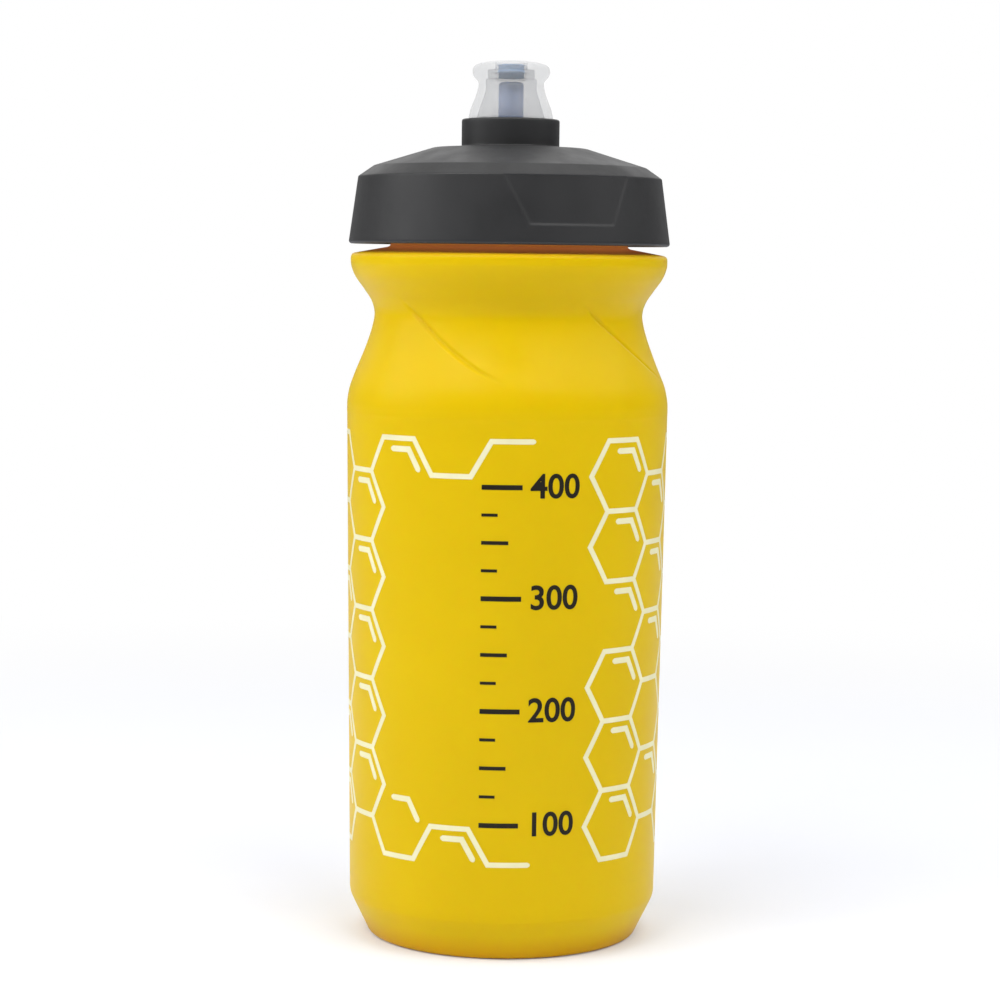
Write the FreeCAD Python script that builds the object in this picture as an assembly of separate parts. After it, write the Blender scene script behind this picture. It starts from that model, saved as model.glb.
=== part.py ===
import FreeCAD, Part
import math
import os

# Bicycle water bottle: blow-moulded squeeze body with a gripping waist, a
# screw cap with a sealing ring, and a push-pull mouthpiece on a central stem.
# Frame: millimetres, +Z up, origin at the centre of the base ring's plane.
# "Front" is the -Y side. Azimuths are measured from the front towards +X.

V = FreeCAD.Vector
os.makedirs("parts", exist_ok=True)

# ---------------------------------------------------------------- dimensions
WALL = 1.4                 # body wall
FLOOR = 1.8                # body floor
FOOT_R0, FOOT_R1 = 26.0, 30.2      # flat foot ring the bottle stands on
PUSH_UP = 3.2              # recessed middle of the base
R_LOW, Z_LOW = 36.0, 10.0  # top of the tapered foot
R_BELT, Z_BELT = 37.5, 123.2       # belt edge, the widest part
Z_RIM = 158.3              # shoulder rim
NECK_R = 27.6              # neck outside, thread root
MOUTH_R = 25.4             # mouth inside
NECK_TOP = 177.15
THREAD_LEAD = 4.5          # right-hand, single start
MALE_CREST = 29.4
MALE_Z0, MALE_TURNS = 165.2, 1.75
FEMALE_CREST = 27.9        # crest of the cap's thread
RING_BORE = 29.7           # root of the cap's thread
FEMALE_TURNS = 1.6
AXIAL_OFFSET = -1.85       # cap ridge below the neck ridge
CAP_Z0, CAP_R0 = 161.7, 37.46      # skirt bottom
RIDGE_Z, RIDGE_R = 177.3, 35.3     # top of the skirt
CHAM_Z, CHAM_R = 180.3, 30.7       # top of the chamfer
CONE_Z, CONE_R = 184.1, 17.9       # top of the cone
COLLAR_R, COLLAR_Z0, COLLAR_Z1 = 11.37, 184.4, 190.8
COLLAR_BORE, COLLAR_LIP = 10.6, 9.95
SPOUT_R, SPOUT_BORE, SPOUT_Z = 6.0, 4.6, 189.8
WELL_Z = 178.0             # floor of the collar's well
SEAT_Z = 179.05            # gasket seat under the cap's top
STEM_R, STEM_TOP = 2.9, 199.4
THROAT_R = 3.0             # sleeve throat that the stem plugs
NOZZLE_TRAVEL = 6.0
SLEEVE_R, SLEEVE_BORE, SLEEVE_Z0 = 9.75, 6.35, 179.5
BEAD_R, BEAD_Z0, BEAD_Z1 = 10.35, 182.2, 183.5
PANEL_AZ = (23.0, 203.0)   # shallow panels on the skirt
PANEL_DEPTH = 0.35

# waist profile, (radius, height) on the outside from belt to shoulder rim
WAIST = [(37.5, 123.2), (37.42, 125.6), (36.85, 128.6), (35.8, 131.6),
         (34.6, 134.5), (33.45, 137.3), (32.45, 140.1), (31.65, 142.9),
         (31.24, 145.7), (31.95, 148.5), (33.75, 151.3), (35.75, 154.1),
         (36.75, 156.6), (36.9, 158.3)]


# ------------------------------------------------------------------- helpers
def seg(a, b):
    return Part.LineSegment(V(a[0], 0, a[1]), V(b[0], 0, b[1])).toShape()


def spline(pts):
    c = Part.BSplineCurve()
    c.interpolate([V(p[0], 0, p[1]) for p in pts])
    return c.toShape()


def rounded(pts):
    """Closed profile of straight lines; a third number rounds that corner."""
    n = len(pts)
    ins, outs, mids = [], [], []
    for i, p in enumerate(pts):
        a, b = pts[i - 1], pts[(i + 1) % n]
        r = p[2] if len(p) > 2 else 0.0
        if r <= 0:
            ins.append(p[:2]); outs.append(p[:2]); mids.append(None)
            continue
        ua = (a[0] - p[0], a[1] - p[1]); ub = (b[0] - p[0], b[1] - p[1])
        la = math.hypot(*ua); lb = math.hypot(*ub)
        ua = (ua[0] / la, ua[1] / la); ub = (ub[0] / lb, ub[1] / lb)
        half = math.acos(max(-1, min(1, ua[0] * ub[0] + ua[1] * ub[1]))) / 2
        t = r / math.tan(half)
        bis = (ua[0] + ub[0], ua[1] + ub[1]); lbis = math.hypot(*bis)
        bis = (bis[0] / lbis, bis[1] / lbis)
        d = r / math.sin(half)
        ins.append((p[0] + ua[0] * t, p[1] + ua[1] * t))
        outs.append((p[0] + ub[0] * t, p[1] + ub[1] * t))
        mids.append((p[0] + bis[0] * (d - r), p[1] + bis[1] * (d - r)))
    edges = []
    for i in range(n):
        if mids[i] is not None:
            edges.append(Part.Arc(V(ins[i][0], 0, ins[i][1]),
                                  V(mids[i][0], 0, mids[i][1]),
                                  V(outs[i][0], 0, outs[i][1])).toShape())
        a, b = outs[i], ins[(i + 1) % n]
        if math.hypot(a[0] - b[0], a[1] - b[1]) > 1e-6:
            edges.append(seg(a, b))
    return edges


def spin(edges):
    wire = Part.Wire(Part.__sortEdges__(edges))
    return Part.Face(wire).revolve(V(0, 0, 0), V(0, 0, 1), 360)


def ridge(r_root, r_crest, z0, turns, base, crest):
    """Helical thread ridge; base and crest are its axial widths."""
    helix = Part.makeHelix(THREAD_LEAD, THREAD_LEAD * turns, r_root)
    w = Part.makePolygon([V(r_root, 0, -base / 2), V(r_crest, 0, -crest / 2),
                          V(r_crest, 0, crest / 2), V(r_root, 0, base / 2),
                          V(r_root, 0, -base / 2)])
    s = Part.Wire(helix.Edges).makePipeShell([w], True, True)
    if s.ShapeType != "Solid":
        s = Part.Solid(s)
    if s.Volume < 0:
        s.reverse()
    s.translate(V(0, 0, z0))
    return s


def save(name, shape):
    shape = shape.removeSplitter() if name not in ("bottle_body",) else shape
    solids = shape.Solids
    out = solids[0] if len(solids) == 1 else Part.makeCompound(solids)
    out.exportStep("parts/%s.step" % name)
    bb = out.BoundBox
    print("%-16s solids %d valid %s vol %.1f z %.2f..%.2f r %.2f" % (
        name, len(solids), out.isValid(), out.Volume, bb.ZMin, bb.ZMax, bb.XMax))
    return out


# --------------------------------------------------------------- bottle body
def offset_in(pts, d):
    out = []
    for i, p in enumerate(pts):
        a = pts[max(0, i - 1)]; b = pts[min(len(pts) - 1, i + 1)]
        t = (b[0] - a[0], b[1] - a[1]); l = math.hypot(*t)
        out.append((p[0] - d * t[1] / l, p[1] + d * t[0] / l))
    return out


outer_foot = [(FOOT_R1, 0.0), (31.35, 0.45), (32.0, 1.5), (33.6, 4.6),
              (34.9, 7.3), (R_LOW, Z_LOW)]
inner_waist = offset_in(WAIST, WALL)
inner_foot = [(R_LOW - WALL, Z_LOW + 0.4), (33.5, 7.9), (32.2, 5.2),
              (30.6, 2.6), (29.6, FLOOR)]
outer_edges = [
    seg((0, PUSH_UP), (20.0, PUSH_UP)),
    spline([(20.0, PUSH_UP), (22.6, 2.7), (24.4, 1.0), (FOOT_R0, 0.0)]),
    seg((FOOT_R0, 0.0), (FOOT_R1, 0.0)),
    spline(outer_foot),
    seg((R_LOW, Z_LOW), (R_BELT, Z_BELT)),
    spline(WAIST),
    spline([(36.9, Z_RIM), (36.72, 159.05), (36.1, 159.62)]),
    seg((36.1, 159.62), (NECK_R + 0.9, 161.0)),
    Part.Arc(V(NECK_R + 0.9, 0, 161.0), V(NECK_R + 0.27, 0, 161.3),
             V(NECK_R, 0, 161.9)).toShape(),
    seg((NECK_R, 161.9), (NECK_R, NECK_TOP - 0.5)),
    seg((NECK_R, NECK_TOP - 0.5), (NECK_R - 0.5, NECK_TOP)),
    seg((NECK_R - 0.5, NECK_TOP), (MOUTH_R + 0.4, NECK_TOP)),
    seg((MOUTH_R + 0.4, NECK_TOP), (MOUTH_R, NECK_TOP - 0.4)),
    seg((MOUTH_R, NECK_TOP - 0.4), (MOUTH_R, 160.6)),
    Part.Arc(V(MOUTH_R, 0, 160.6), V(MOUTH_R + 0.27, 0, 159.87),
             V(MOUTH_R + 0.95, 0, 159.55)).toShape(),
    seg((MOUTH_R + 0.95, 159.55), (34.6, 158.3)),
    spline([(34.6, 158.3), (35.25, 157.85), inner_waist[-1][0:1] +
            (157.0,)]),
    spline([(inner_waist[-1][0], 157.0)] + inner_waist[1:-2][::-1] +
           [(R_BELT - WALL, Z_BELT)]),
    seg((R_BELT - WALL, Z_BELT), (R_LOW - WALL, Z_LOW + 0.4)),
    spline(inner_foot),
    seg((29.6, FLOOR), (26.9, FLOOR)),
    spline([(26.9, FLOOR), (25.0, 2.9), (22.9, 4.55), (20.0, PUSH_UP + FLOOR)]),
    seg((20.0, PUSH_UP + FLOOR), (0, PUSH_UP + FLOOR)),
    seg((0, PUSH_UP + FLOOR), (0, PUSH_UP)),
]
body = spin(outer_edges)
male = ridge(NECK_R - 0.25, MALE_CREST, MALE_Z0, MALE_TURNS, 2.4, 1.0)
body = body.fuse(male)
save("bottle_body", body)

# ----------------------------------------------------------------- screw cap
cap = spin(rounded([
    (CAP_R0, CAP_Z0, 0.7), (RIDGE_R, RIDGE_Z, 0.8), (CHAM_R, CHAM_Z, 1.2),
    (CONE_R, CONE_Z, 3.0), (COLLAR_R, COLLAR_Z0, 0.4),
    (COLLAR_R, COLLAR_Z1, 0.5), (COLLAR_LIP, COLLAR_Z1, 0.15),
    (COLLAR_LIP, COLLAR_Z1 - 0.9), (COLLAR_BORE, COLLAR_Z1 - 1.1),
    (COLLAR_BORE, WELL_Z), (SPOUT_R, WELL_Z),
    # O-ring groove near the top of the spout tube
    (SPOUT_R, 187.6), (5.3, 187.6), (5.3, 189.0), (SPOUT_R, 189.0),
    (SPOUT_R, SPOUT_Z, 0.25), (SPOUT_BORE, SPOUT_Z, 0.15),
    (SPOUT_BORE, 176.4), (12.2, 176.4, 0.5), (12.2, 182.6, 0.5),
    (CONE_R - 0.2, CONE_Z - 1.7), (25.6, 180.05), (25.6, SEAT_Z),
    (RING_BORE, SEAT_Z), (RING_BORE, 163.2, 0.3), (31.4, 163.2, 0.3),
    (31.4, 178.0, 0.4), (33.1, 176.9, 0.5), (33.75, 176.0),
    (CAP_R0 - 1.6, CAP_Z0, 0.3)]))
female = ridge(RING_BORE + 0.25, FEMALE_CREST,
               MALE_Z0 + AXIAL_OFFSET, FEMALE_TURNS, 2.4, 1.0)
# the cap's ridge starts at the same azimuth as the neck's, one flank below
cap = cap.fuse(female)
ribs = []
for i in range(12):
    rib = Part.makeBox(3.2, 1.1, 13.0, V(31.0, -0.55, 164.6))
    rib.rotate(V(0, 0, 0), V(0, 0, 1), 30.0 * i + 15.0)
    ribs.append(rib)
skirt_solid = spin(rounded([(31.0, CAP_Z0 + 1.0), (CAP_R0 - 0.6, CAP_Z0 + 1.0),
                            (RIDGE_R - 0.6, RIDGE_Z - 0.4), (31.0, 178.2)]))
for rib in ribs:
    cap = cap.fuse(rib.common(skirt_solid))
for az in PANEL_AZ:
    slope = (CAP_R0 - RIDGE_R) / (RIDGE_Z - CAP_Z0)
    def rad(z):
        return CAP_R0 - slope * (z - CAP_Z0)
    band = spin(rounded([(rad(160) - PANEL_DEPTH, 160), (rad(160) + 3, 160),
                         (rad(179) + 3, 179), (rad(179) - PANEL_DEPTH, 179)]))
    trap = Part.Face(Part.makePolygon([
        V(-10.1, -50, 166.2), V(10.1, -50, 166.2), V(15.45, -50, 178.2),
        V(-15.45, -50, 178.2), V(-10.1, -50, 166.2)]))
    prism = trap.extrude(V(0, 40, 0))
    prism.rotate(V(0, 0, 0), V(0, 0, 1), az)
    cap = cap.cut(band.common(prism))
save("screw_cap", cap)

# ---------------------------------------------------------------- cap gasket
save("cap_gasket", spin(rounded([
    (25.75, NECK_TOP + 0.05, 0.3), (29.35, NECK_TOP + 0.05, 0.3),
    (29.35, SEAT_Z - 0.05, 0.3), (25.75, SEAT_Z - 0.05, 0.3)])))

# ---------------------------------------------------------------- valve stem
stem = spin([seg((0, 178.5), (STEM_R, 178.5)), seg((STEM_R, 178.5), (STEM_R, 198.7)),
             Part.Arc(V(STEM_R, 0, 198.7), V(STEM_R - 0.25, 0, 199.12),
                      V(STEM_R - 0.8, 0, STEM_TOP)).toShape(),
             seg((STEM_R - 0.8, STEM_TOP), (0, STEM_TOP)),
             seg((0, STEM_TOP), (0, 178.5))])
stem = stem.fuse(spin(rounded([(3.85, 178.5), (SPOUT_BORE, 178.5),
                               (SPOUT_BORE, 181.0), (3.85, 181.0)])))
for i in range(3):
    sp = Part.makeBox(2.2, 1.0, 2.5, V(2.0, -0.5, 178.5))
    sp.rotate(V(0, 0, 0), V(0, 0, 1), 120.0 * i + 30.0)
    stem = stem.fuse(sp)
save("valve_stem", stem)

# -------------------------------------------------------------- nozzle o-ring
save("nozzle_o_ring", Part.makeTorus(5.8, 0.49, V(0, 0, 188.3)))

# -------------------------------------------------------------- nozzle sleeve
save("nozzle_sleeve", spin(rounded([
    (SLEEVE_BORE, SLEEVE_Z0, 0.2), (7.45, SLEEVE_Z0), (7.45, 188.4, 0.3),
    (8.55, 188.4, 0.3), (8.55, SLEEVE_Z0), (SLEEVE_R, SLEEVE_Z0),
    (SLEEVE_R, BEAD_Z0), (BEAD_R, BEAD_Z0 + 0.5), (BEAD_R, BEAD_Z1),
    (SLEEVE_R, BEAD_Z1), (SLEEVE_R, 190.9), (8.0, 190.9), (5.9, 197.5),
    (5.9, 200.0), (THROAT_R + 0.35, 200.0), (THROAT_R, 199.6),
    (THROAT_R, 196.4), (SPOUT_BORE, 194.9), (SPOUT_BORE, 190.3),
    (SLEEVE_BORE, 190.3)])))

# ---------------------------------------------------------------- nozzle grip
grip_out = [(9.8, 191.15), (9.62, 192.1), (9.3, 193.3), (8.8, 194.6),
            (8.25, 196.0), (7.76, 197.7), (7.58, 198.9), (7.8, 199.7),
            (8.42, 200.3), (8.86, 201.0), (9.0, 201.9), (8.78, 202.75),
            (8.1, 203.4), (6.8, 203.78), (5.2, 204.0), (4.25, 204.1)]
save("nozzle_grip", spin([
    seg((8.0, 190.9), (9.55, 190.9)),
    seg((9.55, 190.9), (9.8, 191.15)),
    spline(grip_out),
    Part.Arc(V(4.25, 0, 204.1), V(3.9, 0, 203.97), V(3.75, 0, 203.6)).toShape(),
    seg((3.75, 203.6), (3.75, 202.15)), seg((3.75, 202.15), (5.45, 202.15)),
    seg((5.45, 202.15), (5.45, 200.0)), seg((5.45, 200.0), (5.9, 200.0)),
    seg((5.9, 200.0), (5.9, 197.5)), seg((5.9, 197.5), (8.0, 190.9))]))

# -------------------------------------------------------------- membrane ring
save("membrane_ring", spin(rounded([
    (3.7, 200.02, 0.2), (5.42, 200.02), (5.42, 201.5), (3.7, 201.5, 0.4)])))

# ------------------------------------------------------------ valve membrane
mem = spin(rounded([
    (5.42, 201.52), (5.42, 202.12), (3.72, 202.12), (3.72, 203.3, 0.3),
    (2.5, 203.3, 0.5), (1.7, 202.85, 0.5), (0, 202.85), (0, 202.25),
    (3.0, 202.25, 0.5), (3.3, 201.52)]))
# cross slit, cut through the middle of the membrane
for ang in (45.0, 135.0):
    slit = Part.makeBox(3.0, 0.12, 1.6, V(-1.5, -0.06, 201.8))
    slit.rotate(V(0, 0, 0), V(0, 0, 1), ang)
    mem = mem.cut(slit)
save("valve_membrane", mem)
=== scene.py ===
import bpy
import math
import numpy as np
from mathutils import Matrix, Vector


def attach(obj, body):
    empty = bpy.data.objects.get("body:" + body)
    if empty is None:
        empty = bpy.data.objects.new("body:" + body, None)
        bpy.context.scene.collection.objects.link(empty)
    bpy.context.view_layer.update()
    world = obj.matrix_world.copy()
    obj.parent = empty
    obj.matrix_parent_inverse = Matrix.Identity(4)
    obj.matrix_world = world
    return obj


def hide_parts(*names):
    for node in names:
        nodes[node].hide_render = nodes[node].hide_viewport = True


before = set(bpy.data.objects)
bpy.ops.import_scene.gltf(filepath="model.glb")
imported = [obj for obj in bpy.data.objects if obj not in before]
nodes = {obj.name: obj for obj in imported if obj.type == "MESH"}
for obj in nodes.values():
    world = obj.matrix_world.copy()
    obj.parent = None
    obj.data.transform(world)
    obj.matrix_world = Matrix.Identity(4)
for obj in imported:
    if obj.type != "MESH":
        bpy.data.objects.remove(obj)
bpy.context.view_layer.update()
MM = 0.001
S = bpy.context.scene


# ============================================================ mesh helpers
def link(name, verts, faces, smooth=True):
    me = bpy.data.meshes.new(name)
    v = np.asarray(verts, float) * MM
    sizes = np.array([len(f) for f in faces], np.int32)
    loops = np.concatenate([np.asarray(f, np.int32) for f in faces])
    me.vertices.add(len(v))
    me.vertices.foreach_set("co", v.astype(np.float32).ravel())
    me.loops.add(len(loops))
    me.loops.foreach_set("vertex_index", loops)
    me.polygons.add(len(sizes))
    starts = np.concatenate([[0], np.cumsum(sizes)[:-1]]).astype(np.int32)
    me.polygons.foreach_set("loop_start", starts)
    me.polygons.foreach_set("loop_total", sizes)
    me.polygons.foreach_set("use_smooth", np.full(len(sizes), bool(smooth)))
    me.update(calc_edges=True)
    me.validate()
    ob = bpy.data.objects.new(name, me)
    S.collection.objects.link(ob)
    return ob


def line(a, b, step):
    n = max(1, int(math.ceil(math.hypot(b[0] - a[0], b[1] - a[1]) / step)))
    return [(a[0] + (b[0] - a[0]) * i / n, a[1] + (b[1] - a[1]) * i / n) for i in range(n + 1)]


def rounded(pts, closed, step=2.0, arc=6):
    """Polyline through pts, (r, z, fillet, step-after) tuples, with its corners rounded."""
    n = len(pts)
    out = []
    keep = []
    for i, p in enumerate(pts):
        r = p[2] if len(p) > 2 else 0.0
        if r <= 0 or (not closed and i in (0, n - 1)):
            keep.append(([(p[0], p[1])], p))
            continue
        a, b = pts[i - 1], pts[(i + 1) % n]
        ua = np.array([a[0] - p[0], a[1] - p[1]], float); ub = np.array([b[0] - p[0], b[1] - p[1]], float)
        ua /= np.linalg.norm(ua); ub /= np.linalg.norm(ub)
        half = math.acos(max(-1.0, min(1.0, float(ua @ ub)))) / 2
        t = r / math.tan(half)
        c = np.array(p[:2]) + (ua + ub) / np.linalg.norm(ua + ub) * (r / math.sin(half))
        s, e = np.array(p[:2]) + ua * t - c, np.array(p[:2]) + ub * t - c
        a0, a1 = math.atan2(s[1], s[0]), math.atan2(e[1], e[0])
        d = (a1 - a0 + math.pi) % (2 * math.pi) - math.pi
        keep.append(([(c[0] + r * math.cos(a0 + d * k / arc), c[1] + r * math.sin(a0 + d * k / arc))
                      for k in range(arc + 1)], p))
    for i, (ps, p) in enumerate(keep):
        out += ps
        if i == n - 1 and not closed:
            break
        nxt = keep[(i + 1) % n][0][0]
        st = p[3] if len(p) > 3 else step
        out += line(ps[-1], nxt, st)[1:-1]
    res = [out[0]]
    for q in out[1:]:
        if math.hypot(q[0] - res[-1][0], q[1] - res[-1][1]) > 1e-4:
            res.append(q)
    return res


def smooth_curve(pts, step):
    """Catmull-Rom through (r, z) points, resampled evenly."""
    p = np.array(pts, float)
    p = np.vstack([2 * p[0] - p[1], p, 2 * p[-1] - p[-2]])
    out = []
    for i in range(1, len(p) - 2):
        n = max(2, int(math.ceil(np.linalg.norm(p[i + 1] - p[i]) / step)))
        for k in range(n):
            t = k / n
            out.append(0.5 * ((2 * p[i]) + (p[i + 1] - p[i - 1]) * t
                              + (2 * p[i - 1] - 5 * p[i] + 4 * p[i + 1] - p[i + 2]) * t * t
                              + (3 * p[i] - p[i - 1] - 3 * p[i + 1] + p[i + 2]) * t ** 3))
    out.append(p[-2])
    return [tuple(q) for q in out]


def spin(name, rows, columns, displace=None, closed=False):
    """Revolves (r, z) rows about +Z. Azimuth 0 is the front (-Y), positive towards +X.
    displace(index, phi, r, z) -> new r, as arrays. Rows with r = 0 become one pole vertex."""
    az = np.arange(columns) * 2 * math.pi / columns
    verts, ids, base = [], [], 0
    for i, (r, z) in enumerate(rows):
        if r < 1e-6:
            verts.append(np.array([[0.0, 0.0, z]]))
            ids.append(np.full(columns, base)); base += 1
            continue
        rr = np.full(columns, float(r))
        if displace is not None:
            rr = displace(i, az, rr, z)
        verts.append(np.stack([rr * np.sin(az), -rr * np.cos(az), np.full(columns, z)], 1))
        ids.append(base + np.arange(columns)); base += columns
    faces = []
    n = len(rows)
    for i in range(n if closed else n - 1):
        a, b = ids[i], ids[(i + 1) % n]
        a1, b1 = np.roll(a, -1), np.roll(b, -1)
        if a[0] == a[1]:
            faces += list(np.stack([a, b1, b], 1))
        elif b[0] == b[1]:
            faces += list(np.stack([a, a1, b], 1))
        else:
            faces += list(np.stack([a, a1, b1, b], 1))
    return link(name, np.vstack(verts), faces)


def sstep(x, a, b):
    t = np.clip((x - a) / (b - a), 0, 1)
    return t * t * (3 - 2 * t)


def ridge(az, z, z0, turns, lead=4.5):
    """Height (0..1) of a right-hand thread ridge that starts at +X."""
    th = np.mod(az - math.pi / 2, 2 * math.pi)
    h = np.zeros_like(th)
    for k in range(4):
        t = th + 2 * math.pi * k
        d = np.abs(z - (z0 + lead * t / (2 * math.pi)))
        prof = np.clip((1.2 - d) / 0.7, 0, 1)
        prof = prof * prof * (3 - 2 * prof)
        end = 2 * math.pi * turns
        run = sstep(t, 0.0, 0.35) * (1 - sstep(t, end - 0.35, end))
        h = np.maximum(h, prof * np.where((t >= 0) & (t <= end), run, 0))
    return h


# ============================================================ materials
def mat(name):
    m = bpy.data.materials.new(name)
    m.use_nodes = True
    nt = m.node_tree
    for n in list(nt.nodes):
        nt.nodes.remove(n)
    out = nt.nodes.new("ShaderNodeOutputMaterial")
    b = nt.nodes.new("ShaderNodeBsdfPrincipled")
    nt.links.new(b.outputs[0], out.inputs[0])
    return m, nt, b


def node(nt, kind, **inputs):
    n = nt.nodes.new(kind)
    for k, v in inputs.items():
        n.inputs[k.replace("_", " ")].default_value = v
    return n


def noise(nt, scale, detail=3.0, rough=0.5):
    co = nt.nodes.new("ShaderNodeTexCoord")
    n = node(nt, "ShaderNodeTexNoise", Scale=scale, Detail=detail, Roughness=rough)
    nt.links.new(co.outputs["Object"], n.inputs["Vector"])
    return n


def ramp(nt, src, stops):
    r = nt.nodes.new("ShaderNodeValToRGB")
    el = r.color_ramp.elements
    while len(el) < len(stops):
        el.new(0.5)
    for e, (p, c) in zip(el, stops):
        e.position = p
        e.color = (*c, 1.0) if len(c) == 3 else c
    nt.links.new(src, r.inputs[0])
    return r


def remap(nt, src, lo, hi, a=0.0, b=1.0):
    n = nt.nodes.new("ShaderNodeMapRange")
    n.inputs["From Min"].default_value = a
    n.inputs["From Max"].default_value = b
    n.inputs["To Min"].default_value = lo
    n.inputs["To Max"].default_value = hi
    nt.links.new(src, n.inputs["Value"])
    return n


def bumps(nt, b, layers):
    """layers: (source socket, strength, distance in metres)."""
    last = None
    for src, strength, dist in layers:
        n = node(nt, "ShaderNodeBump", Strength=strength, Distance=dist)
        nt.links.new(src, n.inputs["Height"])
        if last is not None:
            nt.links.new(last.outputs[0], n.inputs["Normal"])
        last = n
    nt.links.new(last.outputs[0], b.inputs["Normal"])


def srgb(r, g, b):
    f = lambda c: (c / 255 / 12.92) if c / 255 <= 0.04045 else ((c / 255 + 0.055) / 1.055) ** 2.4
    return (f(r), f(g), f(b))


def mat_body():
    m, nt, b = mat("bottle_plastic_look")
    tone = noise(nt, 28.0, 2.0)
    col = ramp(nt, tone.outputs[0], [(0.32, (0.712, 0.478, 0.0004)), (0.68, (0.742, 0.502, 0.0008))])
    # painted shade: darker, more orange colour at the foot's bottom edge and on the neck in the cap's shadow
    co = nt.nodes.new("ShaderNodeTexCoord")
    sep = nt.nodes.new("ShaderNodeSeparateXYZ")
    nt.links.new(co.outputs["Object"], sep.inputs[0])
    foot_painted_shade = remap(nt, sep.outputs["Z"], 1.0, 0.0, 0.0, 0.006)
    neck_painted_light = remap(nt, sep.outputs["Z"], 0.0, 1.0, 0.1588, 0.1612)
    mx = nt.nodes.new("ShaderNodeMath"); mx.operation = "MAXIMUM"
    nt.links.new(foot_painted_shade.outputs[0], mx.inputs[0]); nt.links.new(neck_painted_light.outputs[0], mx.inputs[1])
    painted_shade_mix = nt.nodes.new("ShaderNodeMix"); painted_shade_mix.data_type = "RGBA"
    nt.links.new(mx.outputs[0], painted_shade_mix.inputs[0])
    nt.links.new(col.outputs[0], painted_shade_mix.inputs[6])
    # painted shade colour for the foot's edge and the shaded neck
    painted_shade_mix.inputs[7].default_value = (0.68, 0.35, 0.003, 1)
    nt.links.new(painted_shade_mix.outputs[2], b.inputs["Base Color"])
    # painted glow: an orange emission on the neck in the cap's shade stands in for light soaking through the wall
    painted_glow = nt.nodes.new("ShaderNodeMix"); painted_glow.data_type = "RGBA"
    nt.links.new(neck_painted_light.outputs[0], painted_glow.inputs[0])
    painted_glow.inputs[6].default_value = (0, 0, 0, 1)
    # painted glow colour
    painted_glow.inputs[7].default_value = (0.205, 0.062, 0.019, 1)
    nt.links.new(painted_glow.outputs[2], b.inputs["Emission Color"])
    b.inputs["Emission Strength"].default_value = 1.0
    smear = noise(nt, 60.0, 4.0, 0.6)
    r = remap(nt, smear.outputs[0], 0.33, 0.41, 0.3, 0.7)
    nt.links.new(r.outputs[0], b.inputs["Roughness"])
    b.inputs["Specular IOR Level"].default_value = 0.10
    b.inputs["IOR"].default_value = 1.5
    b.inputs["Subsurface Weight"].default_value = 0.2
    b.inputs["Subsurface Radius"].default_value = (1.0, 0.34, 0.03)
    b.inputs["Subsurface Scale"].default_value = 0.002
    peel = noise(nt, 420.0, 2.0)
    fine = noise(nt, 2600.0, 2.0)
    wave = noise(nt, 45.0, 1.0)
    bumps(nt, b, [(wave.outputs[0], 0.10, 0.0006), (peel.outputs[0], 0.05, 0.0002),
                  (fine.outputs[0], 0.04, 0.00006)])
    return m


def mat_cap():
    m, nt, b = mat("cap_plastic_look")
    tone = noise(nt, 40.0, 3.0)
    col = ramp(nt, tone.outputs[0], [(0.3, (0.0120, 0.0120, 0.0124)), (0.7, (0.0146, 0.0146, 0.0151))])
    nt.links.new(col.outputs[0], b.inputs["Base Color"])
    haze = noise(nt, 120.0, 4.0, 0.6)
    r = remap(nt, haze.outputs[0], 0.42, 0.54, 0.3, 0.7)
    nt.links.new(r.outputs[0], b.inputs["Roughness"])
    b.inputs["Specular IOR Level"].default_value = 0.5
    grain = noise(nt, 5200.0, 3.0, 0.65)
    grain2 = noise(nt, 1900.0, 2.0)
    bumps(nt, b, [(grain2.outputs[0], 0.16, 0.00005), (grain.outputs[0], 0.22, 0.00003)])
    return m


def mat_grip():
    m, nt, b = mat("grip_elastomer_look")
    cloud = noise(nt, 260.0, 3.0)
    col = ramp(nt, cloud.outputs[0], [(0.3, (0.47, 0.48, 0.49)), (0.7, (0.55, 0.56, 0.57))])
    nt.links.new(col.outputs[0], b.inputs["Base Color"])
    r = remap(nt, cloud.outputs[0], 0.30, 0.38, 0.3, 0.7)
    nt.links.new(r.outputs[0], b.inputs["Roughness"])
    b.inputs["Alpha"].default_value = 0.235
    b.inputs["Specular IOR Level"].default_value = 0.8
    g = noise(nt, 3500.0, 2.0)
    bumps(nt, b, [(g.outputs[0], 0.12, 0.00004)])
    return m


def mat_sleeve():
    m, nt, b = mat("sleeve_plastic_look")
    cloud = noise(nt, 200.0, 3.0)
    col = ramp(nt, cloud.outputs[0], [(0.3, (0.66, 0.67, 0.68)), (0.7, (0.74, 0.75, 0.76))])
    nt.links.new(col.outputs[0], b.inputs["Base Color"])
    r = remap(nt, cloud.outputs[0], 0.28, 0.40, 0.3, 0.7)
    nt.links.new(r.outputs[0], b.inputs["Roughness"])
    # the barrel that slides in the cap's well is milkier than the thin-walled top
    co = nt.nodes.new("ShaderNodeTexCoord")
    sep = nt.nodes.new("ShaderNodeSeparateXYZ")
    nt.links.new(co.outputs["Object"], sep.inputs[0])
    milk = remap(nt, sep.outputs["Z"], 0.38, 0.045, 0.1899, 0.1911)
    nt.links.new(milk.outputs[0], b.inputs["Alpha"])
    g = noise(nt, 2500.0, 2.0)
    bumps(nt, b, [(g.outputs[0], 0.08, 0.00004)])
    return m


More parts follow.
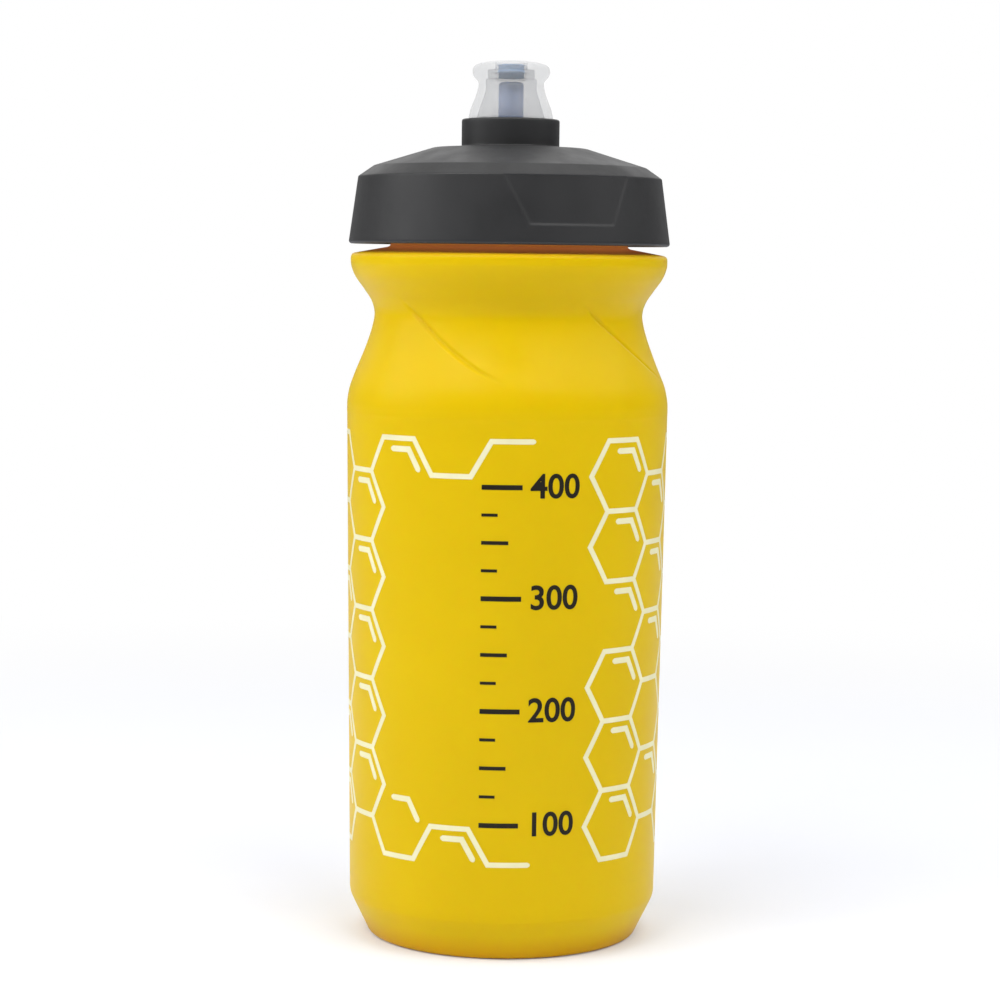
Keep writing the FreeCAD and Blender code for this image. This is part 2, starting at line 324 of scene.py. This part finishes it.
def mat_simple(name, lo, hi, rlo, rhi, grain=2400.0, strength=0.12, sss=0.0, spec=0.4):
    m, nt, b = mat(name)
    cloud = noise(nt, 180.0, 3.0)
    col = ramp(nt, cloud.outputs[0], [(0.3, lo), (0.7, hi)])
    nt.links.new(col.outputs[0], b.inputs["Base Color"])
    r = remap(nt, cloud.outputs[0], rlo, rhi, 0.3, 0.7)
    nt.links.new(r.outputs[0], b.inputs["Roughness"])
    if sss:
        b.inputs["Subsurface Weight"].default_value = sss
        b.inputs["Subsurface Radius"].default_value = (1.0, 1.0, 1.0)
        b.inputs["Subsurface Scale"].default_value = 0.001
    b.inputs["Specular IOR Level"].default_value = spec
    g = noise(nt, grain, 2.0)
    bumps(nt, b, [(g.outputs[0], strength, 0.00004)])
    return m


M_BODY, M_CAP, M_GRIP, M_SLEEVE = mat_body(), mat_cap(), mat_grip(), mat_sleeve()
M_STEM = mat_simple("valve_plastic_look", (0.008, 0.098, 0.38), (0.014, 0.122, 0.44), 0.36, 0.46)
M_MEMBRANE = mat_simple("membrane_silicone_look", (0.15, 0.37, 0.66), (0.19, 0.41, 0.72), 0.40, 0.50, sss=0.2)


def pale_rim(m, r0, r1, rim):
    """The disc is blue in the middle and clear-pale towards its clamped rim."""
    nt = m.node_tree
    b = [q for q in nt.nodes if q.type == "BSDF_PRINCIPLED"][0]
    src = b.inputs["Base Color"].links[0].from_socket
    co = nt.nodes.new("ShaderNodeTexCoord")
    fl = nt.nodes.new("ShaderNodeVectorMath"); fl.operation = "MULTIPLY"
    fl.inputs[1].default_value = (1, 1, 0)
    nt.links.new(co.outputs["Object"], fl.inputs[0])
    ln = nt.nodes.new("ShaderNodeVectorMath"); ln.operation = "LENGTH"
    nt.links.new(fl.outputs[0], ln.inputs[0])
    k = remap(nt, ln.outputs["Value"], 0.0, 1.0, r0, r1)
    mx = nt.nodes.new("ShaderNodeMix"); mx.data_type = "RGBA"
    nt.links.new(k.outputs[0], mx.inputs[0])
    nt.links.new(src, mx.inputs[6])
    mx.inputs[7].default_value = rim
    nt.links.new(mx.outputs[2], b.inputs["Base Color"])
    clear = remap(nt, ln.outputs["Value"], 1.0, 0.10, r0, r1)
    nt.links.new(clear.outputs[0], b.inputs["Alpha"])


pale_rim(M_MEMBRANE, 0.0031, 0.0037, (0.70, 0.74, 0.78, 1))
M_GASKET = mat_simple("gasket_rubber_look", (0.52, 0.52, 0.50), (0.60, 0.60, 0.58), 0.55, 0.70)
M_WHITE = mat_simple("print_white_look", (0.82, 0.77, 0.47), (0.88, 0.83, 0.54), 0.34, 0.44, 3200.0, 0.10, spec=0.25)
M_BLACK = mat_simple("print_black_look", (0.010, 0.007, 0.003), (0.016, 0.012, 0.006), 0.34, 0.46, 3200.0, 0.10, spec=0.2)


def dress(ob, material, body=None, replaces=()):
    ob.data.materials.clear()
    ob.data.materials.append(material)
    if body:
        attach(ob, body)
    if replaces:
        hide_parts(*replaces)
    return ob


# ============================================================ bottle body
WAIST = [(37.5, 123.2), (37.42, 125.6), (36.85, 128.6), (35.8, 131.6), (34.6, 134.5),
         (33.45, 137.3), (32.45, 140.1), (31.65, 142.9), (31.24, 145.7), (31.95, 148.5),
         (33.75, 151.3), (35.75, 154.1), (36.75, 156.6), (36.9, 158.3)]
WALL = 1.4


def offset_in(pts, d):
    out = []
    for i, p in enumerate(pts):
        a, b = pts[max(0, i - 1)], pts[min(len(pts) - 1, i + 1)]
        t = (b[0] - a[0], b[1] - a[1]); l = math.hypot(*t)
        out.append((p[0] - d * t[1] / l, p[1] + d * t[0] / l))
    return out


rows = []
def add(seq):
    for q in seq:
        if not rows or math.hypot(q[0] - rows[-1][0], q[1] - rows[-1][1]) > 1e-3:
            rows.append((float(q[0]), float(q[1])))

add(line((0, 3.2), (19.6, 3.2), 2.5))
add(smooth_curve([(19.6, 3.2), (21.2, 3.06), (22.9, 2.4), (24.4, 1.1), (25.3, 0.32), (26.2, 0.0)], 0.5))
add(line((26.2, 0.0), (30.2, 0.0), 1.0))
add(smooth_curve([(30.2, 0.0), (31.0, 0.18), (31.6, 0.62), (32.05, 1.45), (32.8, 3.0), (33.6, 4.6),
                  (34.9, 7.25), (35.55, 8.65), (35.85, 9.5), (36.0, 10.6)], 0.35))
N_LABEL0 = len(rows)
add(line((36.0, 10.6), (37.46, 122.3), 1.6))
add(smooth_curve([(37.46, 122.3), (37.5, 122.9), (37.5, 123.2)], 0.3))
N_WAIST0 = len(rows)
add(smooth_curve(WAIST, 0.42))
add(smooth_curve([(36.9, 158.3), (36.83, 158.85), (36.55, 159.35), (36.05, 159.62)], 0.2))
add(line((36.05, 159.62), (28.5, 161.0), 0.8))
add(smooth_curve([(28.5, 161.0), (27.95, 161.18), (27.68, 161.5), (27.6, 161.95)], 0.2))
N_NECK0 = len(rows)
add(line((27.6, 161.95), (27.6, 176.6), 0.2))
N_NECK1 = len(rows)
add(smooth_curve([(27.6, 176.6), (27.45, 177.0), (27.1, 177.15)], 0.15))
add(line((27.1, 177.15), (25.8, 177.15), 0.4))
add(smooth_curve([(25.8, 177.15), (25.5, 177.03), (25.4, 176.75)], 0.15))
add(line((25.4, 176.75), (25.4, 160.6), 1.5))
add(smooth_curve([(25.4, 160.6), (25.62, 159.9), (26.35, 159.55)], 0.3))
add(line((26.35, 159.55), (34.4, 158.15), 1.5))
add(smooth_curve([(34.4, 158.15), (35.1, 157.8), (35.5, 157.0)] + offset_in(WAIST, WALL)[1:-2][::-1]
                 + [(36.1, 122.6)], 0.9))
add(line((36.1, 122.6), (34.6, 10.4), 3.0))
add(smooth_curve([(34.6, 10.4), (33.5, 7.9), (32.2, 5.2), (30.9, 2.9), (29.6, 1.85), (28.2, 1.8),
                  (26.9, 1.85), (25.0, 2.9), (22.9, 4.55), (20.0, 5.0)], 0.9))
add(line((20.0, 5.0), (0, 5.0), 2.5))

# finger creases of the waist: each runs down to the right, azimuth against height
CREASE_Z = np.array([122.0, 127.5, 130.7, 133.7, 135.2, 138.8, 142.8, 146.0, 148.5, 151.0, 154.0])
CREASE_A = np.radians([20.0, 7.5, -1.5, -11.8, -16.2, -25.8, -35.6, -43.6, -48.6, -52.5, -55.5])
CREASE_AT = np.radians([0.0, 80.5, 170.0, 260.0 - 12.0])
N_WAIST1 = N_WAIST0 + len(smooth_curve(WAIST, 0.42))


def body_shape(i, az, r, z):
    if N_WAIST0 <= i < N_WAIST1 and 123.5 < z < 153.5:
        mid = float(np.interp(z, CREASE_Z, CREASE_A))
        depth = 0.36 * float(sstep(z, 151.5, 143.5) * sstep(z, 129.2, 136.5))
        wide = float(np.interp(z, [126.0, 130.0, 134.0, 138.0, 152.0], [11.0, 8.0, 3.4, 1.7, 1.5]))
        for off in CREASE_AT:
            d = np.mod(az - mid - off + math.pi, 2 * math.pi) - math.pi
            dd = np.degrees(d)
            # proud edge on the left, sharp step down, slow rise again to the right
            cut = sstep(dd, -0.7, wide) * (1 - sstep(dd, 2.0 + wide, 34.0))
            groove = 0.62 * np.exp(-((dd - 0.6) / 0.95) ** 2) * float(sstep(z, 130.0, 134.0) * sstep(z, 150.0, 144.0))
            r = r - depth * cut - groove
        return r
    if N_NECK0 <= i < N_NECK1:
        return r + 1.8 * ridge(az, z, 165.2, 1.75)
    return r


# mould parting line: a hair-fine raised seam on both sides, from the foot to the shoulder
def with_seam(i, az, r, z):
    r = body_shape(i, az, r, z)
    if i < N_NECK0 and i > 14:
        s = np.abs(np.sin(az - math.radians(90.0)))   # two seams, half a turn apart
        r = r + 0.045 * np.exp(-(s * r / 0.32) ** 2)
    return np.minimum(r, 37.5)          # the seam dies out on the belt edge, the widest circle


body = spin("bottle_shell", rows, 640, with_seam)
dress(body, M_BODY, "bottle", ["bottle_body"])

# ============================================================ screw cap
SLOPE = (37.46 - 35.3) / (177.3 - 161.7)
cap_pts = [
    (37.46, 161.7, 0.7, 0.28), (35.3, 177.3, 0.55, 0.5), (31.7, 179.8, 1.4, 0.9), (17.9, 184.1, 3.0, 0.9),
    (11.37, 184.4, 0.35, 0.8), (11.37, 190.8, 0.5, 0.4), (9.95, 190.8, 0.15, 0.3), (9.95, 189.9, 0.0, 0.3),
    (10.6, 189.7, 0.0, 1.2), (10.6, 178.0, 0.3, 1.2), (6.0, 178.0, 0.3, 1.2), (6.0, 187.6, 0, 0.4),
    (5.3, 187.6, 0, 0.4), (5.3, 189.0, 0, 0.4), (6.0, 189.0, 0, 0.4), (6.0, 189.8, 0.25, 0.4),
    (4.6, 189.8, 0.15, 1.4), (4.6, 176.4, 0.2, 1.2), (12.2, 176.4, 0.5, 1.0), (12.2, 182.6, 0.5, 1.0),
    (17.7, 182.4, 0, 1.2), (25.6, 180.05, 0, 0.6), (25.6, 179.05, 0, 0.8), (29.7, 179.05, 0, 0.25),
    (29.7, 163.2, 0.3, 0.4), (31.4, 163.2, 0.3, 1.0), (31.4, 178.0, 0.4, 0.6), (33.1, 176.9, 0.5, 0.5),
    (33.75, 176.0, 0, 1.0), (35.86, 161.7, 0.3, 0.4)]
cap_rows = rounded(cap_pts, True)


def panel_mask(az, z, centre):
    """1 inside a trapezoid panel on the skirt, soft over a third of a millimetre."""
    t = (z - 166.2) / (178.2 - 166.2)
    half = 10.1 + (15.45 - 10.1) * t
    rr = 37.46 - SLOPE * (z - 161.7)
    d = np.mod(az - math.radians(centre) + math.pi, 2 * math.pi) - math.pi
    s = rr * np.sin(d)
    inside = np.where(np.abs(d) < math.pi / 2, half - np.abs(s), -9.0)
    return sstep(inside, -0.3, 0.3) * float(sstep(z, 166.0, 166.45))


OUT = len([1 for q in cap_rows[:70]])
def cap_shape(i, az, r, z):
    skirt = abs(r[0] - (37.46 - SLOPE * (z - 161.7))) < 0.06 and 163 < z < 177.2
    if skirt:
        for c in (23.0, 203.0):
            r = r - 0.14 * panel_mask(az, z, c)
    if abs(r[0] - 29.7) < 0.02 and 163.3 < z < 178.9:
        r = r - 1.8 * ridge(az, z, 165.2 - 1.85, 1.6)
    return r


cap = spin("cap_shell", cap_rows, 576, cap_shape, closed=True)
dress(cap, M_CAP, "cap", ["screw_cap"])

ribs_v, ribs_f = [], []
for k in range(12):
    a = math.radians(30.0 * k + 15.0 + 90.0)
    er = np.array([math.sin(a), -math.cos(a), 0.0]); et = np.array([math.cos(a), math.sin(a), 0.0])
    o = len(ribs_v)
    for w in (-0.55, 0.55):
        for (r, z) in ((31.2, 164.9), (35.5, 164.9), (34.2, 175.4), (31.2, 177.6)):
            ribs_v.append(er * r + et * w + np.array([0, 0, z]))
    ribs_f += [(o, o + 1, o + 2, o + 3), (o + 7, o + 6, o + 5, o + 4)]
    for j in range(4):
        ribs_f.append((o + j, o + 4 + j, o + 4 + (j + 1) % 4, o + (j + 1) % 4))
ribs = link("cap_ribs", ribs_v, ribs_f, smooth=False)
bev = ribs.modifiers.new("soft", "BEVEL"); bev.width = 0.00018; bev.segments = 2
dress(ribs, M_CAP, "cap")

# ============================================================ mouthpiece
grip_rows = smooth_curve([(9.8, 191.2), (9.62, 192.1), (9.3, 193.3), (8.8, 194.6), (8.25, 196.0),
                          (7.78, 197.6), (7.58, 198.8), (7.74, 199.55), (8.28, 200.15), (8.8, 200.9),
                          (9.0, 201.85), (8.8, 202.7), (8.15, 203.32), (7.0, 203.7), (5.6, 203.93),
                          (4.6, 204.08)], 0.22)
grip_rows += [(4.25, 204.1), (3.98, 204.0), (3.8, 203.8), (3.75, 203.5), (3.75, 202.15), (5.45, 202.15),
              (5.45, 200.0), (5.9, 200.0), (5.9, 197.5)]
grip_rows += line((5.9, 197.5), (8.0, 190.9), 0.8)[1:]
grip_rows += [(9.2, 190.9), (9.55, 190.92), (9.72, 191.02)]
grip = spin("mouthpiece_grip", grip_rows, 192, closed=True)
dress(grip, M_GRIP, "nozzle", ["nozzle_grip"])

sleeve_pts = [(6.35, 179.5, 0.2, 1.0), (7.45, 179.5, 0, 1.0), (7.45, 188.4, 0.3, 0.5), (8.55, 188.4, 0.3, 1.0),
              (8.55, 179.5, 0, 0.6), (9.75, 179.5, 0.2, 0.6), (9.75, 182.2, 0, 0.4), (10.35, 182.7, 0.15, 0.4),
              (10.35, 183.5, 0.15, 0.4), (9.75, 183.5, 0, 0.8), (9.75, 190.88, 0.1, 0.6), (8.0, 190.88, 0, 0.8),
              (5.88, 197.5, 0, 0.8), (5.88, 199.98, 0, 0.5), (3.35, 199.98, 0, 0.3), (3.0, 199.6, 0, 0.8),
              (3.0, 196.4, 0, 0.8), (4.6, 194.9, 0, 0.8), (4.6, 190.3, 0, 0.8), (6.35, 190.3, 0, 1.0)]
sleeve = spin("mouthpiece_sleeve", rounded(sleeve_pts, True), 160, closed=True)
dress(sleeve, M_SLEEVE, "nozzle", ["nozzle_sleeve"])

# raised ring that stiffens the membrane around its slits
lip_rows = [(2.5, 200.2), (2.95, 200.2), (2.95, 203.30), (2.86, 203.42), (2.60, 203.42), (2.5, 203.30)]
dress(spin("membrane_collar", lip_rows, 96, closed=True), M_MEMBRANE, "nozzle")

for nm, mt in (("valve_stem", M_STEM), ("valve_membrane", M_MEMBRANE), ("membrane_ring", M_SLEEVE),
               ("nozzle_o_ring", M_GASKET), ("cap_gasket", M_GASKET)):
    nodes[nm].data.materials.clear()
    nodes[nm].data.materials.append(mt)
    for poly in nodes[nm].data.polygons:
        poly.use_smooth = True
    try:
        nodes[nm].data.set_sharp_from_angle(angle=math.radians(35))
    except AttributeError:
        pass

# ============================================================ print
LIFT = 0.045      # ink stands this far above the plastic


def wall_r(z):
    return 36.0 + (37.46 - 36.0) * (z - 10.6) / (122.3 - 10.6)


def wrap(name, pts, faces, material):
    """Turns flat (arc length, height) points into a thin closed skin on the label wall."""
    top, bot = [], []
    for s, z in pts:
        a = s / 36.75
        for store, d in ((top, LIFT), (bot, -0.06)):
            r = wall_r(z) + d
            store.append((r * math.sin(a), -r * math.cos(a), z))
    n = len(pts)
    fs = [tuple(f) for f in faces]
    edges = {}
    for f in fs:
        for a, b in zip(f, f[1:] + f[:1]):
            edges[(a, b)] = edges.get((a, b), 0) + 1
    sides = [(a, b) for (a, b) in edges if (b, a) not in edges]
    allf = fs + [tuple(n + v for v in reversed(f)) for f in fs]
    allf += [(b, a, n + a, n + b) for a, b in sides]
    ob = link(name, top + bot, allf, smooth=False)
    return dress(ob, material, "bottle")


def strips(points, edges, width, seg=1.1):
    """A flat network of straight strokes with mitred joints. points: name -> (s, z)."""
    near = {k: [] for k in points}
    for a, b in edges:
        near[a].append(b); near[b].append(a)
    P = {k: np.array(v, float) for k, v in points.items()}
    verts, faces, corner = [], [], {}

    def put(q):
        verts.append((float(q[0]), float(q[1]))); return len(verts) - 1

    hw = width / 2
    for k, ns in near.items():
        if not ns:
            continue
        ns = sorted(ns, key=lambda j: math.atan2(*(P[j] - P[k])[::-1]))
        m = len(ns)
        dirs = [(P[j] - P[k]) / np.linalg.norm(P[j] - P[k]) for j in ns]
        if m == 1:
            d = dirs[0]; nrm = np.array([-d[1], d[0]])
            ring = [put(P[k] - d * hw * 0.0 - nrm * hw), put(P[k] - nrm * hw * 0.55 - d * hw * 0.75),
                    put(P[k] - d * hw * 0.98), put(P[k] + nrm * hw * 0.55 - d * hw * 0.75),
                    put(P[k] + nrm * hw)]
            faces.append((ring[0], ring[4], ring[3], ring[2], ring[1]))
            corner[(k, ns[0])] = (ring[0], ring[4])
            continue
        cs = []
        for i in range(m):
            d0, d1 = dirs[i], dirs[(i + 1) % m]
            n0, n1 = np.array([-d0[1], d0[0]]), np.array([d1[1], -d1[0]])
            den = d0[0] * d1[1] - d0[1] * d1[0]
            if abs(den) < 1e-6:
                q = P[k] + n0 * hw
            else:
                w = (n1 - n0) * hw
                t = (w[0] * d1[1] - w[1] * d1[0]) / den
                q = P[k] + n0 * hw + d0 * t
            cs.append(put(q))
        # cs[i] lies between direction i and i+1
        for i, j in enumerate(ns):
            corner[(k, j)] = (cs[(i - 1) % m], cs[i])      # right, left of the way out
        if m >= 3:
            faces.append(tuple(cs))
    for a, b in edges:
        ra, la = corner[(a, b)]
        rb, lb = corner[(b, a)]
        length = np.linalg.norm(P[a] - P[b])
        n = max(1, int(length / seg))
        prev = (ra, la)
        for i in range(1, n + 1):
            if i == n:
                cur = (lb, rb)
            else:
                t = i / n
                q0 = np.array(verts[ra]) * (1 - t) + np.array(verts[lb]) * t
                q1 = np.array(verts[la]) * (1 - t) + np.array(verts[rb]) * t
                cur = (put(q0), put(q1))
            faces.append((prev[0], cur[0], cur[1], prev[1]))
            prev = cur
    return verts, faces


SIDE = 9.18                 # honeycomb cell side
ROWH = SIDE * math.sqrt(3)  # cell height
Z_TOP = 118.2
pts, edges, strokes = {}, set(), []


def key(s, z):
    return (round(s * 20), round(z * 20))


def cell(col, row, skip=(), mark=None):
    """col counts columns from just right of the front; corner 0 is the cell's right tip."""
    cs = 1.2 + col * 1.5 * SIDE
    cz = Z_TOP - ROWH / 2 - row * ROWH - (ROWH / 2 if col % 2 else 0.0)
    c = [(cs + SIDE * math.cos(math.radians(60 * i)), cz + SIDE * math.sin(math.radians(60 * i)))
         for i in range(6)]
    for q in c:
        pts[key(*q)] = q
    for i in range(6):
        if i in skip:
            continue
        a, b = key(*c[i]), key(*c[(i + 1) % 6])
        edges.add((min(a, b), max(a, b)))
    if mark is not None:
        k = SIDE - 2.8
        q = [(cs + k * math.cos(math.radians(60 * i)), cz + k * math.sin(math.radians(60 * i))) for i in range(6)]
        a, b, d = (q[2], q[1], q[0]) if mark == "r" else (q[1], q[2], q[3])
        strokes.append([(b[0] + (a[0] - b[0]) * 0.72, b[1] + (a[1] - b[1]) * 0.72), b,
                        (b[0] + (d[0] - b[0]) * 0.8, b[1] + (d[1] - b[1]) * 0.8)])


# cells left unfinished beside the clear front: which of their six sides are missing
OPEN_CELLS = {(-2, 0): (4, 5), (-2, 5): (0, 1), (2, 2): (2, 3)}
rng = np.random.default_rng(7)
for col in range(-7, 8):
    if abs(col) < 2:
        continue
    n = 6 if col % 2 == 0 else 5
    for row in range(n):
        if abs(col) == 2 and col < 0 and 1 <= row <= 4:
            continue
        lit = "r" if rng.random() < 0.72 else None
        if (col, row) in OPEN_CELLS:
            cell(col, row, skip=OPEN_CELLS[(col, row)], mark="r" if col < 0 else lit)
        else:
            cell(col, row, mark=lit)
# loose ends of the pattern reach towards the front at the top and bottom
cell(-1, 0, skip=(0, 2, 3, 4, 5))
cell(0, 0, skip=(0, 3, 4, 5))
cell(-1, 4, skip=(0, 1, 2, 3, 5))
cell(0, 5, skip=(0, 1, 2, 5))
cell(-1, 5, skip=(0, 2, 3, 4, 5), mark="r")

names = {k: i for i, k in enumerate(pts)}
v, f = strips(pts, sorted(edges), 1.18)
wrap("print_honeycomb", v, f, M_WHITE)
vv, ff = [], []
for st in strokes:
    a, b = strips({0: st[0], 1: st[1], 2: st[2]}, [(0, 1), (1, 2)], 1.32)
    o = len(vv)
    vv += a
    ff += [tuple(o + x for x in q) for q in b]
wrap("print_highlights", vv, ff, M_WHITE)

# measuring scale in the middle: ticks each 25 ml, plain numbers each 100 ml
def volume_heights():
    zz = np.linspace(5.0, 122.0, 1200)
    rin = np.interp(zz, [5.0, 7.9, 10.4, 122.6], [32.0, 33.5, 34.6, 36.1])
    vol = np.concatenate([[0], np.cumsum(math.pi * ((rin[1:] + rin[:-1]) / 2) ** 2 * np.diff(zz))]) / 1000.0
    return zz, vol


zz, vol = volume_heights()
tv, tf = [], []


def bar(s0, s1, z0, z1, seg=0.9):
    n = max(1, int((s1 - s0) / seg)); o = len(tv)
    for i in range(n + 1):
        s = s0 + (s1 - s0) * i / n
        tv.append((s, z0)); tv.append((s, z1))
    for i in range(n):
        tf.append((o + 2 * i, o + 2 * i + 2, o + 2 * i + 3, o + 2 * i + 1))


S0 = -5.5
for ml in range(100, 425, 25):
    z = float(np.interp(ml, vol, zz))
    if ml % 100 == 0:
        bar(S0, S0 + 9.0, z - 0.55, z + 0.55)
    elif ml % 50 == 0:
        bar(S0, S0 + 6.0, z - 0.42, z + 0.42)
    else:
        bar(S0, S0 + 3.6, z - 0.34, z + 0.34)
wrap("print_ticks", tv, tf, M_BLACK)

for ml in (100, 200, 300, 400):
    z = float(np.interp(ml, vol, zz))
    cu = bpy.data.curves.new("n%d" % ml, "FONT")
    cu.body = "%d" % ml
    cu.size = 7.6
    cu.align_x = "LEFT"
    cu.align_y = "CENTER"
    cu.resolution_u = 6
    cu.offset = 0.14
    tmp = bpy.data.objects.new("n%d" % ml, cu)
    S.collection.objects.link(tmp)
    bpy.context.view_layer.update()
    me = bpy.data.meshes.new_from_object(tmp)
    bpy.data.objects.remove(tmp)
    import bmesh
    bm = bmesh.new(); bm.from_mesh(me)
    bmesh.ops.triangulate(bm, faces=bm.faces[:])
    for _ in range(3):
        long = [e for e in bm.edges if e.calc_length() > 1.0]
        if not long:
            break
        bmesh.ops.subdivide_edges(bm, edges=long, cuts=1)
        bmesh.ops.triangulate(bm, faces=bm.faces[:])
    bm.verts.index_update()
    p2 = [(v.co.x + S0 + 10.8, v.co.y + z) for v in bm.verts]
    f2 = []
    for fc in bm.faces:
        idx = [v.index for v in fc.verts]
        area = sum(p2[idx[i]][0] * p2[idx[(i + 1) % len(idx)]][1] - p2[idx[(i + 1) % len(idx)]][0] * p2[idx[i]][1]
                   for i in range(len(idx)))
        f2.append(tuple(idx if area > 0 else idx[::-1]))
    bm.free()
    wrap("print_number_%d" % ml, p2, f2, M_BLACK)

# ============================================================ stage, light, camera
def stage_mat():
    m, nt, b = mat("floor_look")
    n = noise(nt, 9.0, 2.0)
    # painted light: a faint blue tint cancels the yellow light the bottle bounces onto the floor
    c = ramp(nt, n.outputs[0], [(0.3, (0.865, 0.885, 0.955)), (0.7, (0.88, 0.90, 0.97))])
    nt.links.new(c.outputs[0], b.inputs["Base Color"])
    b.inputs["Roughness"].default_value = 0.9
    b.inputs["Specular IOR Level"].default_value = 0.1
    # the sweep grows evenly white with distance from the bottle
    co = nt.nodes.new("ShaderNodeTexCoord")
    ln = nt.nodes.new("ShaderNodeVectorMath"); ln.operation = "LENGTH"
    nt.links.new(co.outputs["Object"], ln.inputs[0])
    far = remap(nt, ln.outputs["Value"], 0.12, 1.0, 0.05, 0.6)
    far.interpolation_type = "SMOOTHSTEP"
    seen = nt.nodes.new("ShaderNodeLightPath")
    only = nt.nodes.new("ShaderNodeMath"); only.operation = "MULTIPLY"
    nt.links.new(far.outputs[0], only.inputs[0])
    nt.links.new(seen.outputs["Is Camera Ray"], only.inputs[1])
    em = nt.nodes.new("ShaderNodeEmission")
    em.inputs["Strength"].default_value = 1.0
    mx = nt.nodes.new("ShaderNodeMixShader")
    out = [q for q in nt.nodes if q.type == "OUTPUT_MATERIAL"][0]
    nt.links.new(only.outputs[0], mx.inputs[0])
    nt.links.new(b.outputs[0], mx.inputs[1])
    nt.links.new(em.outputs[0], mx.inputs[2])
    nt.links.new(mx.outputs[0], out.inputs[0])
    return m


fl = link("floor", [(-6000, -6000, 0), (6000, -6000, 0), (6000, 6000, 0), (-6000, 6000, 0)], [(0, 1, 2, 3)], False)
fl.data.materials.append(stage_mat())


def area(name, az, el, dist, w, h, power, target=(0, 0, 0.10), colour=(1, 1, 1)):
    L = bpy.data.lights.new(name, "AREA")
    L.shape = "RECTANGLE"; L.size = w; L.size_y = h; L.energy = power; L.color = colour
    ob = bpy.data.objects.new(name, L)
    S.collection.objects.link(ob)
    a, e = math.radians(az), math.radians(el)
    t = Vector(target)
    ob.location = t + Vector((math.sin(a) * math.cos(e), -math.cos(a) * math.cos(e), math.sin(e))) * dist
    ob.rotation_euler = (t - ob.location).to_track_quat("-Z", "Y").to_euler()
    return ob


area("key_left", -41, 49, 1.15, 0.75, 0.6, 7.0)
area("key_right", 38, 52, 1.15, 0.75, 0.6, 5.8)
area("side_left", -84, 28, 0.95, 0.7, 0.5, 3.0)
area("side_right", 86, 36, 0.95, 0.7, 0.5, 2.2)
area("top", 180, 80, 1.2, 1.0, 1.0, 3.6)

w = bpy.data.worlds.new("studio") if S.world is None else S.world
S.world = w
w.use_nodes = True
nt = w.node_tree
for n in list(nt.nodes):
    nt.nodes.remove(n)
out = nt.nodes.new("ShaderNodeOutputWorld")
bg = nt.nodes.new("ShaderNodeBackground")
bg_cam = nt.nodes.new("ShaderNodeBackground")
mixs = nt.nodes.new("ShaderNodeMixShader")
lp = nt.nodes.new("ShaderNodeLightPath")
tc = nt.nodes.new("ShaderNodeTexCoord")
sp = nt.nodes.new("ShaderNodeSeparateXYZ")
nt.links.new(tc.outputs["Generated"], sp.inputs[0])
rp = nt.nodes.new("ShaderNodeMapRange"); rp.interpolation_type = "SMOOTHSTEP"
rp.inputs["From Min"].default_value = 0.3; rp.inputs["From Max"].default_value = 1.0
rp.inputs["To Min"].default_value = 0.07; rp.inputs["To Max"].default_value = 1.1
nt.links.new(sp.outputs["Y"], rp.inputs["Value"])
# low in the room it is darker, so the bottle's edges keep their colour
rz = nt.nodes.new("ShaderNodeMapRange"); rz.interpolation_type = "SMOOTHSTEP"
rz.inputs["From Min"].default_value = 0.05; rz.inputs["From Max"].default_value = 0.42
rz.inputs["To Min"].default_value = 0.25; rz.inputs["To Max"].default_value = 1.35
nt.links.new(sp.outputs["Z"], rz.inputs["Value"])
mz = nt.nodes.new("ShaderNodeMath"); mz.operation = "MULTIPLY"
nt.links.new(rp.outputs[0], mz.inputs[0]); nt.links.new(rz.outputs[0], mz.inputs[1])
nt.links.new(mz.outputs[0], bg.inputs["Strength"])
bg.inputs["Color"].default_value = (1, 1, 1, 1)
bg_cam.inputs["Color"].default_value = (1, 1, 1, 1)
bg_cam.inputs["Strength"].default_value = 1.0
nt.links.new(lp.outputs["Is Camera Ray"], mixs.inputs[0])
nt.links.new(bg.outputs[0], mixs.inputs[1])
nt.links.new(bg_cam.outputs[0], mixs.inputs[2])
nt.links.new(mixs.outputs[0], out.inputs[0])

cam_d = bpy.data.cameras.new("camera")
cam_d.sensor_width = 36.0
cam_d.lens = 2818.8 * 36.0 / 1000.0
cam_d.clip_start = 0.01
cam = bpy.data.objects.new("camera", cam_d)
S.collection.objects.link(cam)
cam.matrix_world = (Matrix.Translation((-0.00145, -0.660, 0.1583))
                    @ Matrix.Rotation(math.radians(90 - 4.87), 4, "X")
                    @ Matrix.Rotation(math.radians(0.685), 4, "Z"))
S.camera = cam
S.view_settings.view_transform = "Standard"
S.view_settings.look = "None"
S.view_settings.exposure = 0.0
S.view_settings.gamma = 1.0
